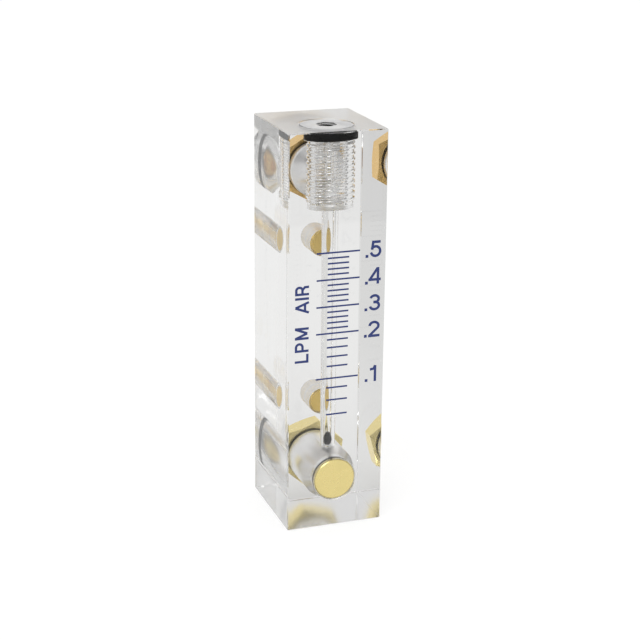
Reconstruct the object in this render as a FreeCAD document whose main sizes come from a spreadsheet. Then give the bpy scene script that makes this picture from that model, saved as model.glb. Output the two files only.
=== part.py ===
"""Variable area flow meter in a clear acrylic block, as a parametric document.

A ball rides in a tapered bore that is reamed in the block. Gas enters the lower brass port at
the back, lifts the ball off its seat, passes round it, and leaves by the upper port. A threaded
clear plug closes the bore at the top and stops the ball. A plain brass plug closes the valve
hole in the front. Two knurled brass inserts in the back take the panel screws.

Frame: millimetres, +Z up, origin at the middle of the base. The printed front faces -Y, and
the ports point along +Y.
"""

import FreeCAD, Part
import os

import Sketcher

doc = FreeCAD.newDocument("FlowMeter")

# ---------------------------------------------------------------- driving dimensions, in mm
# name, value, what it is
SIZES = [
    ("block_width", 28.575, "block, along X"),
    ("block_depth", 31.75, "block, along Y"),
    ("block_height", 115.8875, "block, along Z"),
    ("edge_break", 0.25, "chamfer on the block's outer edges"),
    ("mouth_break", 0.2, "chamfer at the mouth of each hole"),
    ("port_margin", 14.2875, "port axis from the nearer end of the block"),
    ("gland_bore", 15.8, "seal seat at the mouth of each port hole"),
    ("gland_depth", 3.0, "depth of that seat"),
    ("cavity_bore", 14.8, "port hole behind the seal seat"),
    ("port_wall", 1.125, "wall left between the top plug's hole and the upper port hole"),
    ("front_wall", 6.35, "front face to the end of the lower port hole"),
    ("front_bore", 12.4, "valve hole in the front face"),
    ("tube_setback", 10.575, "metering bore axis behind the front face"),
    ("tube_bore_low", 4.4, "metering bore at the seat"),
    ("tube_bore_high", 4.8, "metering bore at its top"),
    ("inlet_bore", 2.6, "hole from the lower port hole up to the seat"),
    ("seat_land", 0.9, "wall left between the seat and the lower port hole"),
    ("chamber_height", 1.8, "room between the metering bore and the top plug"),
    ("passage_bore", 2.0, "hole from that room to the upper port hole"),
    ("thread_bore", 14.0, "major size of the top plug's thread"),
    ("plug_length", 20.7, "top plug, overall"),
    ("plug_point", 0.8, "chamfer at the end of the top plug"),
    ("seal_bore", 15.4, "counterbore for the top plug's head and seal"),
    ("head_size", 15.1, "top plug's head"),
    ("head_thickness", 0.9, "top plug's head"),
    ("seal_space", 2.4, "height of the room for the top plug's seal"),
    ("socket_flats", 4.76, "hexagon socket across flats"),
    ("socket_depth", 6.5, "hexagon socket"),
    ("pilot_bore", 3.6, "drilled hole below the socket"),
    ("pilot_depth", 14.0, "that hole, from the top face"),
    ("top_seal_section", 2.2, "thickness of the top plug's seal"),
    ("port_seal_section", 1.6, "thickness of the port seals"),
    ("seal_nip", 0.02, "gap left where a seal meets a wall"),
    ("close_gap", 0.05, "radial gap of close fits"),
    ("hexagon_flats", 18.0, "port adapter across flats"),
    ("hexagon_length", 5.5, "port adapter's hexagon, along Y"),
    ("bevel_angle", 30.0, "bevel on the hexagon's corners, to its faces, in degrees"),
    ("upper_turn", -1.4, "upper hexagon's turn about Y, in degrees"),
    ("lower_turn", 12.7, "lower hexagon's turn about Y, in degrees"),
    ("shank_gap", 1.0, "room between the upper adapter and the end of its hole"),
    ("pipe_bore", 8.6, "tap drill of the 1/8 inch pipe thread"),
    ("pipe_depth", 10.5, "that hole, from the hexagon's face"),
    ("pipe_mouth", 10.6, "countersink at its mouth"),
    ("flow_bore", 5.0, "hole on through the adapter"),
    ("front_plug_size", 12.0, "brass plug in the front"),
    ("front_plug_chamfer", 0.25, "edge of that plug's face"),
    ("front_seal_setback", 2.5, "middle of its seal behind the front face"),
    ("front_seal_section", 1.3, "thickness of its seal"),
    ("front_groove_width", 1.8, "groove for its seal"),
    ("insert_size", 7.94, "mounting insert, over its knurl"),
    ("insert_length", 12.7, "mounting insert"),
    ("insert_chamfer", 0.7, "closed end of the insert"),
    ("insert_spacing", 47.625, "between the two inserts"),
    ("insert_tap_bore", 4.04, "tap drill of the number 10-32 thread"),
    ("insert_tap_depth", 9.5, "that hole"),
    ("insert_groove", 0.35, "depth of the groove round the insert's middle"),
    ("insert_groove_width", 1.2, "width of that groove"),
    ("float_size", 3.97, "ball, 5/32 inch"),
    ("float_gap", 0.05, "gap between the resting ball and its seat"),
    ("drill_angle", 31.0, "drill point's flank to its base, in degrees"),
    ("run_out", 1.0, "how far a cut's profile runs on past the face that it starts from"),
]

sheet = doc.addObject("Spreadsheet::Sheet", "Dims")
for row, (alias, size, note) in enumerate(SIZES, start=1):
    sheet.set("A%d" % row, alias)
    sheet.set("B%d" % row, repr(size))
    sheet.setAlias("B%d" % row, alias)
    sheet.set("C%d" % row, note)
doc.recompute()

# Places that several pieces share, as formulas on the sheet's values.
BACK = "Dims.block_depth / 2"
FRONT = "-Dims.block_depth / 2"
TOP = "Dims.block_height"
LOWER_PORT = "Dims.port_margin"
UPPER_PORT = "(Dims.block_height - Dims.port_margin)"
TUBE_Y = "(Dims.tube_setback - Dims.block_depth / 2)"
SEAT = "(Dims.port_margin + Dims.cavity_bore / 2 + Dims.seat_land)"
PLUG_END = "(Dims.block_height - Dims.plug_length)"
CHAMBER_FLOOR = "(Dims.block_height - Dims.plug_length - Dims.chamber_height)"
SEAL_FLOOR = "(Dims.block_height - Dims.head_thickness - Dims.seal_space)"
THREAD_HOLE = "(Dims.thread_bore / 2 + Dims.close_gap)"
UPPER_CAVITY_END = "(" + TUBE_Y + " + " + THREAD_HOLE + " + Dims.port_wall)"
LOWER_CAVITY_END = "(Dims.front_wall - Dims.block_depth / 2)"
SHANK_LENGTH = "(Dims.block_depth / 2 - " + UPPER_CAVITY_END + " - Dims.shank_gap)"


# ---------------------------------------------------------------- helpers
def new_body(label):
    body = doc.addObject("PartDesign::Body", label)
    body.Label = label
    return body


def origin_plane(body, role):
    for feature in body.Origin.OriginFeatures:
        if feature.Role == role:
            return feature
    raise ValueError("no plane " + role)


def outline(body, name, role, corners, shift=None):
    """A closed sketch of straight lines. Each corner is a pair of formulas for its place.

    The corners start on a small circle, and the constraints draw each one to its place. A
    formula of "0" puts the corner on the sketch's own axis. The shift moves the whole sketch
    within its plane, so that its axes can be those of a hole.
    """
    sketch = body.newObject("Sketcher::SketchObject", name)
    sketch.AttachmentSupport = [(origin_plane(body, role), "")]
    sketch.MapMode = "FlatFace"
    for direction, formula in (shift or {}).items():
        sketch.setExpression("AttachmentOffset.Base." + direction, formula)
    count = len(corners)
    spoke = FreeCAD.Vector(1, 0, 0)
    start = [FreeCAD.Rotation(FreeCAD.Vector(0, 0, 1), 360.0 * i / count).multVec(spoke)
             for i in range(count)]
    for i in range(count):
        sketch.addGeometry(Part.LineSegment(start[i], start[(i + 1) % count]), False)
    for i in range(count):
        sketch.addConstraint(Sketcher.Constraint("Coincident", i, 2, (i + 1) % count, 1))
    for i, (across, along) in enumerate(corners):
        place(sketch, i, "DistanceX", -2, start[i].x, across)
        place(sketch, i, "DistanceY", -1, start[i].y, along)
    doc.recompute()
    return sketch


def place(sketch, line, kind, axis, value, formula):
    """Tie the start of a line to a formula, or to the sketch's axis where that is 0."""
    if formula == "0":
        sketch.addConstraint(Sketcher.Constraint("PointOnObject", line, 1, axis))
        return
    index = sketch.addConstraint(Sketcher.Constraint(kind, -1, 1, line, 1, value))
    sketch.setExpression("Constraints[%d]" % index, formula)


def pad(body, name, sketch, length):
    feature = body.newObject("PartDesign::Pad", name)
    feature.Profile = sketch
    feature.setExpression("Length", length)
    doc.recompute()
    return feature


def turned(body, name, sketch, axis):
    """A Revolution of the sketch about one of its own axes, H_Axis or V_Axis."""
    feature = body.newObject("PartDesign::Revolution", name)
    feature.Profile = sketch
    feature.ReferenceAxis = (sketch, [axis])
    feature.Angle = 360
    doc.recompute()
    return feature


def bored(body, name, sketch, axis):
    """A Groove of the sketch about one of its own axes. It has to take metal away."""
    before = body.Shape.Volume
    feature = body.newObject("PartDesign::Groove", name)
    feature.Profile = sketch
    feature.ReferenceAxis = (sketch, [axis])
    feature.Angle = 360
    doc.recompute()
    if not body.Shape.Volume < before:
        raise ValueError(name + " cuts nothing")
    return feature


def bored_along_y(body, name, height, profile):
    """Bore a hole along Y at a height. The profile is pairs of a place along Y and a radius."""
    sketch = outline(body, name + "Profile", "YZ_Plane", profile, {"y": height})
    return bored(body, name, sketch, "H_Axis")


# ---------------------------------------------------------------- acrylic block
def make_block():
    """The block and the holes machined in it: the manifold that the gas runs through."""
    body = new_body("acrylic_block")
    half_width = "Dims.block_width / 2"
    plan = outline(body, "BlockPlan", "XY_Plane", [
        ("-" + half_width, FRONT), (half_width, FRONT), (half_width, BACK), ("-" + half_width, BACK)])
    blank = pad(body, "Blank", plan, TOP)
    edges = body.newObject("PartDesign::Chamfer", "EdgeBreak")
    edges.Base = (blank, ["Edge%d" % (i + 1) for i in range(len(blank.Shape.Edges))])
    edges.setExpression("Size", "Dims.edge_break")
    doc.recompute()

    # One turned profile makes the counterbore, thread hole, chamber, taper, seat and inlet.
    profile = [
        ("0", TOP + " + Dims.run_out"),
        ("Dims.seal_bore / 2 + Dims.mouth_break", TOP + " + Dims.run_out"),
        ("Dims.seal_bore / 2 + Dims.mouth_break", TOP),
        ("Dims.seal_bore / 2", TOP + " - Dims.mouth_break"),
        ("Dims.seal_bore / 2", SEAL_FLOOR),
        (THREAD_HOLE, SEAL_FLOOR),
        (THREAD_HOLE, CHAMBER_FLOOR),
        ("Dims.tube_bore_high / 2", CHAMBER_FLOOR),
        ("Dims.tube_bore_low / 2", SEAT),
        ("Dims.inlet_bore / 2", SEAT),
        ("Dims.inlet_bore / 2", LOWER_PORT),
        ("0", LOWER_PORT)]
    sketch = outline(body, "MeteringProfile", "YZ_Plane", profile, {"x": TUBE_Y})
    bored(body, "MeteringBore", sketch, "V_Axis")

    # The lower hole runs from front to back: valve hole, port hole and seal seat.
    mouth = "Dims.gland_bore / 2 + Dims.mouth_break"
    front_mouth = "Dims.front_bore / 2 + Dims.mouth_break"
    seal_seat = BACK + " - Dims.gland_depth"
    bored_along_y(body, "LowerHole", LOWER_PORT, [
        (FRONT + " - Dims.run_out", "0"),
        (FRONT + " - Dims.run_out", front_mouth),
        (FRONT, front_mouth),
        (FRONT + " + Dims.mouth_break", "Dims.front_bore / 2"),
        (LOWER_CAVITY_END, "Dims.front_bore / 2"),
        (LOWER_CAVITY_END, "Dims.cavity_bore / 2"),
        (seal_seat, "Dims.cavity_bore / 2"),
        (seal_seat, "Dims.gland_bore / 2"),
        (BACK + " - Dims.mouth_break", "Dims.gland_bore / 2"),
        (BACK, mouth),
        (BACK + " + Dims.run_out", mouth),
        (BACK + " + Dims.run_out", "0")])
    bored_along_y(body, "UpperHole", UPPER_PORT, [
        (UPPER_CAVITY_END, "0"),
        (UPPER_CAVITY_END, "Dims.cavity_bore / 2"),
        (seal_seat, "Dims.cavity_bore / 2"),
        (seal_seat, "Dims.gland_bore / 2"),
        (BACK + " - Dims.mouth_break", "Dims.gland_bore / 2"),
        (BACK, mouth),
        (BACK + " + Dims.run_out", mouth),
        (BACK + " + Dims.run_out", "0")])

    # A small hole joins the chamber to the upper port hole, half way up the chamber's wall.
    passage_height = CHAMBER_FLOOR + " + Dims.chamber_height / 2 + Dims.passage_bore / 4"
    bored_along_y(body, "Passage", passage_height, [
        (TUBE_Y, "0"),
        (TUBE_Y, "Dims.passage_bore / 2"),
        (UPPER_CAVITY_END + " + Dims.run_out", "Dims.passage_bore / 2"),
        (UPPER_CAVITY_END + " + Dims.run_out", "0")])

    socket_end = BACK + " - Dims.insert_length - Dims.close_gap"
    socket_radius = "Dims.insert_size / 2 + Dims.close_gap / 2"
    for name, side in (("LowerSocket", " - "), ("UpperSocket", " + ")):
        bored_along_y(body, name, TOP + " / 2" + side + "Dims.insert_spacing / 2", [
            (socket_end, "0"),
            (socket_end, socket_radius),
            (BACK + " + Dims.run_out", socket_radius),
            (BACK + " + Dims.run_out", "0")])
    return body


# ---------------------------------------------------------------- top plug
def make_top_plug():
    """A clear threaded plug: head, neck for its seal, threaded shank, socket for a hexagon key.

    It is drawn with its axis on Z and its head's face at 0, and put on the metering bore.
    """
    body = new_body("top_plug")
    shank = "Dims.thread_bore / 2 - Dims.close_gap"
    neck = "Dims.seal_bore / 2 - Dims.top_seal_section"
    under_head = "-Dims.head_thickness"
    neck_end = "-(Dims.head_thickness + Dims.seal_space)"
    side = outline(body, "PlugSide", "XZ_Plane", [
        ("0", "0"),
        ("Dims.head_size / 2 - Dims.mouth_break", "0"),
        ("Dims.head_size / 2", "-Dims.mouth_break"),
        ("Dims.head_size / 2", under_head),
        (neck, under_head),
        (neck, neck_end),
        (shank, neck_end),
        (shank, "-(Dims.plug_length - Dims.plug_point)"),
        (shank + " - Dims.plug_point", "-Dims.plug_length"),
        ("0", "-Dims.plug_length")])
    turned(body, "Turned", side, "V_Axis")

    corner = "Dims.socket_flats / 2 / cos(30)"
    half_flat = "Dims.socket_flats / 2"
    hexagon = outline(body, "SocketPlan", "XY_Plane", [
        (corner, "0"), (corner + " / 2", half_flat), ("-" + corner + " / 2", half_flat),
        ("-" + corner, "0"), ("-" + corner + " / 2", "-" + half_flat), (corner + " / 2", "-" + half_flat)])
    before = body.Shape.Volume
    socket = body.newObject("PartDesign::Pocket", "Socket")
    socket.Profile = hexagon
    socket.setExpression("Length", "Dims.socket_depth")
    doc.recompute()
    if not body.Shape.Volume < before:
        raise ValueError("the socket cuts nothing")

    cone = "Dims.pilot_bore / 2 * tan(Dims.drill_angle)"
    drill = outline(body, "PilotSide", "XZ_Plane", [
        ("0", "-Dims.socket_depth + Dims.run_out"),
        ("Dims.pilot_bore / 2", "-Dims.socket_depth + Dims.run_out"),
        ("Dims.pilot_bore / 2", "-Dims.pilot_depth"),
        ("0", "-Dims.pilot_depth - " + cone)])
    bored(body, "Pilot", drill, "V_Axis")
    body.setExpression("Placement.Base.y", TUBE_Y)
    body.setExpression("Placement.Base.z", TOP)
    return body


# ---------------------------------------------------------------- brass pieces
def make_port_adapter(label, height, turn):
    """A hexagon with a shank that enters the block, bored and tapped for 1/8 inch pipe.

    It is drawn with its axis on Y and the back of the hexagon's seat at 0: the hexagon is on
    the +Y side, and the shank, with the neck for its seal, on the -Y side.
    """
    body = new_body(label)
    corner = "Dims.hexagon_flats / 2 / cos(30)"
    half_flat = "Dims.hexagon_flats / 2"
    plan = outline(body, "HexagonPlan", "XZ_Plane", [
        ("0", corner), ("-" + half_flat, corner + " / 2"), ("-" + half_flat, "-" + corner + " / 2"),
        ("0", "-" + corner), (half_flat, "-" + corner + " / 2"), (half_flat, corner + " / 2")])
    hexagon = pad(body, "Hexagon", plan, "Dims.hexagon_length")
    hexagon.Reversed = True
    doc.recompute()

    face = "Dims.hexagon_length"
    beyond = corner + " + Dims.run_out"
    bevel = "(" + beyond + " - " + half_flat + ") * tan(Dims.bevel_angle)"
    for name, seat, outward in (("OuterBevel", face, " - "), ("InnerBevel", "0", " + ")):
        # A cone takes the corners off and leaves the flats' middles.
        edge = outline(body, name + "Profile", "YZ_Plane", [
            (seat, half_flat), (seat + outward + bevel, beyond), (seat, beyond)])
        bored(body, name, edge, "H_Axis")

    neck = "Dims.gland_bore / 2 - Dims.port_seal_section"
    shank = "Dims.cavity_bore / 2 - Dims.close_gap"
    side = outline(body, "ShankSide", "YZ_Plane", [
        ("Dims.run_out", "0"),
        ("Dims.run_out", neck),
        ("-Dims.gland_depth", neck),
        ("-Dims.gland_depth", shank),
        ("-" + SHANK_LENGTH + " + Dims.mouth_break", shank),
        ("-" + SHANK_LENGTH, shank + " - Dims.mouth_break"),
        ("-" + SHANK_LENGTH, "0")])
    turned(body, "Shank", side, "H_Axis")

    pipe_end = face + " - Dims.pipe_depth"
    countersink = face + " - (Dims.pipe_mouth - Dims.pipe_bore) / 2"
    bore = outline(body, "BoreProfile", "YZ_Plane", [
        (face + " + Dims.run_out", "0"),
        (face + " + Dims.run_out", "Dims.pipe_mouth / 2"),
        (face, "Dims.pipe_mouth / 2"),
        (countersink, "Dims.pipe_bore / 2"),
        (pipe_end, "Dims.pipe_bore / 2"),
        (pipe_end, "Dims.flow_bore / 2"),
        ("-" + SHANK_LENGTH + " - Dims.run_out", "Dims.flow_bore / 2"),
        ("-" + SHANK_LENGTH + " - Dims.run_out", "0")])
    bored(body, "PipeBore", bore, "H_Axis")
    # The turn is about Y. Any angle but 0 keeps that axis until the formula gives the real one.
    body.Placement = FreeCAD.Placement(
        FreeCAD.Vector(0, 0, 0), FreeCAD.Rotation(FreeCAD.Vector(0, 1, 0), 1))
    body.setExpression("Placement.Base.y", BACK)
    body.setExpression("Placement.Base.z", height)
    body.setExpression("Placement.Rotation.Angle", turn)
    return body


def make_front_plug():
    """A plain brass disc, flush with the front face, with a groove for its seal."""
    body = new_body("front_plug")
    radius = "Dims.front_plug_size / 2"
    floor = "Dims.front_bore / 2 - Dims.front_seal_section"
    groove_front = "Dims.front_seal_setback - Dims.front_groove_width / 2"
    groove_back = "Dims.front_seal_setback + Dims.front_groove_width / 2"
    land = "Dims.front_bore / 2 - Dims.close_gap"
    side = outline(body, "FrontPlugSide", "YZ_Plane", [
        ("0", "0"),
        ("0", radius + " - Dims.front_plug_chamfer"),
        ("Dims.front_plug_chamfer", radius),
        (groove_front, radius),
        (groove_front, floor),
        (groove_back, floor),
        (groove_back, land),
        ("Dims.front_wall - Dims.front_plug_chamfer", land),
        ("Dims.front_wall", land + " - Dims.front_plug_chamfer"),
        ("Dims.front_wall", "0")])
    turned(body, "FrontPlugTurned", side, "H_Axis")
    body.setExpression("Placement.Base.y", FRONT)
    body.setExpression("Placement.Base.z", LOWER_PORT)
    return body


def make_insert(label, height):
    """A blind brass insert, open and tapped at the back face and closed inside the block."""
    body = new_body(label)
    radius = "Dims.insert_size / 2"
    groove = radius + " - Dims.insert_groove"
    groove_back = "-(Dims.insert_length - Dims.insert_groove_width) / 2"
    groove_front = "-(Dims.insert_length + Dims.insert_groove_width) / 2"
    side = outline(body, "InsertSide", "YZ_Plane", [
        ("0", "0"),
        ("0", radius),
        (groove_back, radius),
        (groove_back, groove),
        (groove_front, groove),
        (groove_front, radius),
        ("-Dims.insert_length + Dims.insert_chamfer", radius),
        ("-Dims.insert_length", radius + " - Dims.insert_chamfer"),
        ("-Dims.insert_length", "0")])
    turned(body, "InsertTurned", side, "H_Axis")
    tap_end = "-Dims.insert_tap_depth"
    bore = outline(body, "TapProfile", "YZ_Plane", [
        ("Dims.run_out", "0"),
        ("Dims.run_out", "Dims.insert_tap_bore / 2 + Dims.mouth_break"),
        ("0", "Dims.insert_tap_bore / 2 + Dims.mouth_break"),
        ("-Dims.mouth_break", "Dims.insert_tap_bore / 2"),
        (tap_end, "Dims.insert_tap_bore / 2"),
        (tap_end + " - Dims.insert_tap_bore / 2 * tan(Dims.drill_angle)", "0")])
    bored(body, "Tapping", bore, "H_Axis")
    body.setExpression("Placement.Base.y", BACK)
    body.setExpression("Placement.Base.z", height)
    return body


# ---------------------------------------------------------------- seals and float
def make_seal(label, bore, section, upright, across, height):
    """A rubber ring that fills the room between a hole's wall and the neck it sits on."""
    ring = doc.addObject("Part::Torus", label)
    ring.Label = label
    ring.setExpression("Radius1", bore + " / 2 - " + section + " / 2")
    ring.setExpression("Radius2", section + " / 2 - Dims.seal_nip")
    if not upright:
        ring.Placement = FreeCAD.Placement(
            FreeCAD.Vector(0, 0, 0), FreeCAD.Rotation(FreeCAD.Vector(1, 0, 0), 90))
    ring.setExpression("Placement.Base.y", across)
    ring.setExpression("Placement.Base.z", height)
    return ring


def make_float():
    """The ball, resting on the edge of the inlet hole."""
    ball = doc.addObject("Part::Sphere", "float_ball")
    ball.Label = "float_ball"
    ball.setExpression("Radius", "Dims.float_size / 2")
    ball.setExpression("Placement.Base.y", TUBE_Y)
    rise = "sqrt((Dims.float_size / 2)^2 - (Dims.inlet_bore / 2)^2)"
    ball.setExpression("Placement.Base.z", SEAT + " + " + rise + " + Dims.float_gap")
    return ball


PORT_SEAL_Y = BACK + " - Dims.gland_depth / 2"
TOP_SEAL_Z = TOP + " - Dims.head_thickness - Dims.seal_space / 2"
LOWER_INSERT = "(Dims.block_height - Dims.insert_spacing) / 2"
UPPER_INSERT = "(Dims.block_height + Dims.insert_spacing) / 2"

pieces = [
    make_block(),
    make_top_plug(),
    make_seal("top_plug_seal", "Dims.seal_bore", "Dims.top_seal_section", True, TUBE_Y, TOP_SEAL_Z),
    make_port_adapter("upper_port_adapter", UPPER_PORT, "Dims.upper_turn"),
    make_port_adapter("lower_port_adapter", LOWER_PORT, "Dims.lower_turn"),
    make_seal("upper_port_seal", "Dims.gland_bore", "Dims.port_seal_section", False,
              PORT_SEAL_Y, UPPER_PORT),
    make_seal("lower_port_seal", "Dims.gland_bore", "Dims.port_seal_section", False,
              PORT_SEAL_Y, LOWER_PORT),
    make_front_plug(),
    make_seal("front_plug_seal", "Dims.front_bore", "Dims.front_seal_section", False,
              FRONT + " + Dims.front_seal_setback", LOWER_PORT),
    make_insert("upper_mounting_insert", UPPER_INSERT),
    make_insert("lower_mounting_insert", LOWER_INSERT),
    make_float(),
]
doc.recompute()

# ---------------------------------------------------------------- checks and output
for item in doc.Objects:
    if "Invalid" in item.State or "Error" in item.State:
        raise ValueError("failed: " + item.Name)
for piece in pieces:
    if piece.Shape.isNull() or not piece.Shape.isValid():
        raise ValueError("bad shape: " + piece.Label)

os.makedirs("parts", exist_ok=True)
for piece in pieces:
    piece.Shape.exportStep("parts/" + piece.Label + ".step")
    print(piece.Label, round(piece.Shape.Volume, 2), "mm3")
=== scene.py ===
"""Looks of a clear acrylic block flow meter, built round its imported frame.

The block, its plug, seals, brass pieces, float and printed scale are surfaces worked out with
numpy. Lengths are in metres, in the frame's own axes: +Z up, the printed front facing -Y.
"""

import math

import bpy
import numpy as np
from bpy.props import FloatProperty, FloatVectorProperty, IntProperty, PointerProperty
from bpy.types import Operator, Panel, PropertyGroup
from mathutils import Matrix, Vector


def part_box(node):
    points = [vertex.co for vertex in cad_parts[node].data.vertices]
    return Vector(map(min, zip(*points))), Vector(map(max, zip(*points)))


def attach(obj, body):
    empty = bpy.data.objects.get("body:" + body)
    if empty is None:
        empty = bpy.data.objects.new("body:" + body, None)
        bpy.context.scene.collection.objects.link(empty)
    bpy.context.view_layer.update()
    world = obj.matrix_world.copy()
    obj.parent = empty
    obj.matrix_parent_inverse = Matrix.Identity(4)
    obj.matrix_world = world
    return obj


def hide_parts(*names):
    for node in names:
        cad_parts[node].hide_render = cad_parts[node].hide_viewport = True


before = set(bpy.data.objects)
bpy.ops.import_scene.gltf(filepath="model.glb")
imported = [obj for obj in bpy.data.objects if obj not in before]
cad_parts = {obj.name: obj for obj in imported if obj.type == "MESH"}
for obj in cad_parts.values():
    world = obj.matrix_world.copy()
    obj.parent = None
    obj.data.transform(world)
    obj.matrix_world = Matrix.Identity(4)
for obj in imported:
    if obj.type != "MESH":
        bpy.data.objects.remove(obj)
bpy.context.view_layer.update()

bl_info = {
    "name": "Block Flow Meter",
    "version": (1, 0, 0),
    "blender": (4, 5, 0),
    "location": "3D View > Sidebar > Flow Meter",
    "description": "Builds the looks of a clear acrylic block flow meter",
    "category": "Object",
}

MM = 0.001
TURN = 2.0 * math.pi
# How far a cutter runs past the face that it opens.
PAST = 1.0 * MM
# Depth of a drill's point over its radius.
DRILL_POINT = 0.6
# Slope of the cone that ends a port hole, and of the bevel on a hexagon's corners.
CONE_SLOPE = math.radians(60.0)
BEVEL_SLOPE = math.radians(30.0)
# Degrees that each hexagon is turned about its axis, clockwise as seen from the front.
HEXAGON_TURNS = {"upper": -1.4, "lower": 12.7}
# Steps round a full turn where a knurl or a fine thread needs more than the usual number.
FINE_STEPS = 192
# A box's corners, each at its low (0) or high (1) end along X, Y and Z, and its outward faces.
BOX_CORNERS = np.array([[i, j, k] for i in (0, 1) for j in (0, 1) for k in (0, 1)])
BOX_FACES = np.array([
    [0, 1, 3, 2], [4, 6, 7, 5], [0, 4, 5, 1], [2, 3, 7, 6], [0, 2, 6, 4], [1, 5, 7, 3]])


# ---------------------------------------------------------------- places, from the frame
def middle(node):
    """The middle of a node's box."""
    low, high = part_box(node)
    return (low + high) / 2


def extent(node):
    """The size of a node's box along X, Y and Z."""
    low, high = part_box(node)
    return high - low


# Corners of boxes, and what follows from them. The bore's axis is the top plug's, and a port's
# height and the reach of its seal are those of the seal's box.
BLOCK_LOW, BLOCK_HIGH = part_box("acrylic_block")
PORT_NODES = {"upper": "upper_port_adapter", "lower": "lower_port_adapter"}
PORT_HEIGHT = {name: middle(name + "_port_seal").z for name in PORT_NODES}
BORE_AXIS = middle("top_plug")
SEAL_REACH = extent("lower_port_seal").x / 2
HEXAGON_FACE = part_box("lower_port_adapter")[1].y
PLUG_LOW, PLUG_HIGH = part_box("top_plug")
FRONT_PLUG_LOW, FRONT_PLUG_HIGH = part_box("front_plug")
BALL_RADIUS = extent("float_ball").z / 2


# ---------------------------------------------------------------- colours
def linear(text):
    """Turn an sRGB hex colour into the linear values that shaders use."""
    values = np.array([int(text[i:i + 2], 16) for i in (1, 3, 5)]) / 255.0
    curved = ((values + 0.055) / 1.055) ** 2.4
    return tuple(float(v) for v in np.where(values <= 0.04045, values / 12.92, curved))


def length(name, description, default):
    """A length setting, with its default given in millimetres."""
    return FloatProperty(name=name, description=description, default=default * MM, unit="LENGTH")


def colour(name, description, default):
    """A colour setting, with its default given as an sRGB hex value."""
    return FloatVectorProperty(
        name=name, description=description, default=linear(default), size=3, subtype="COLOR")


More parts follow.
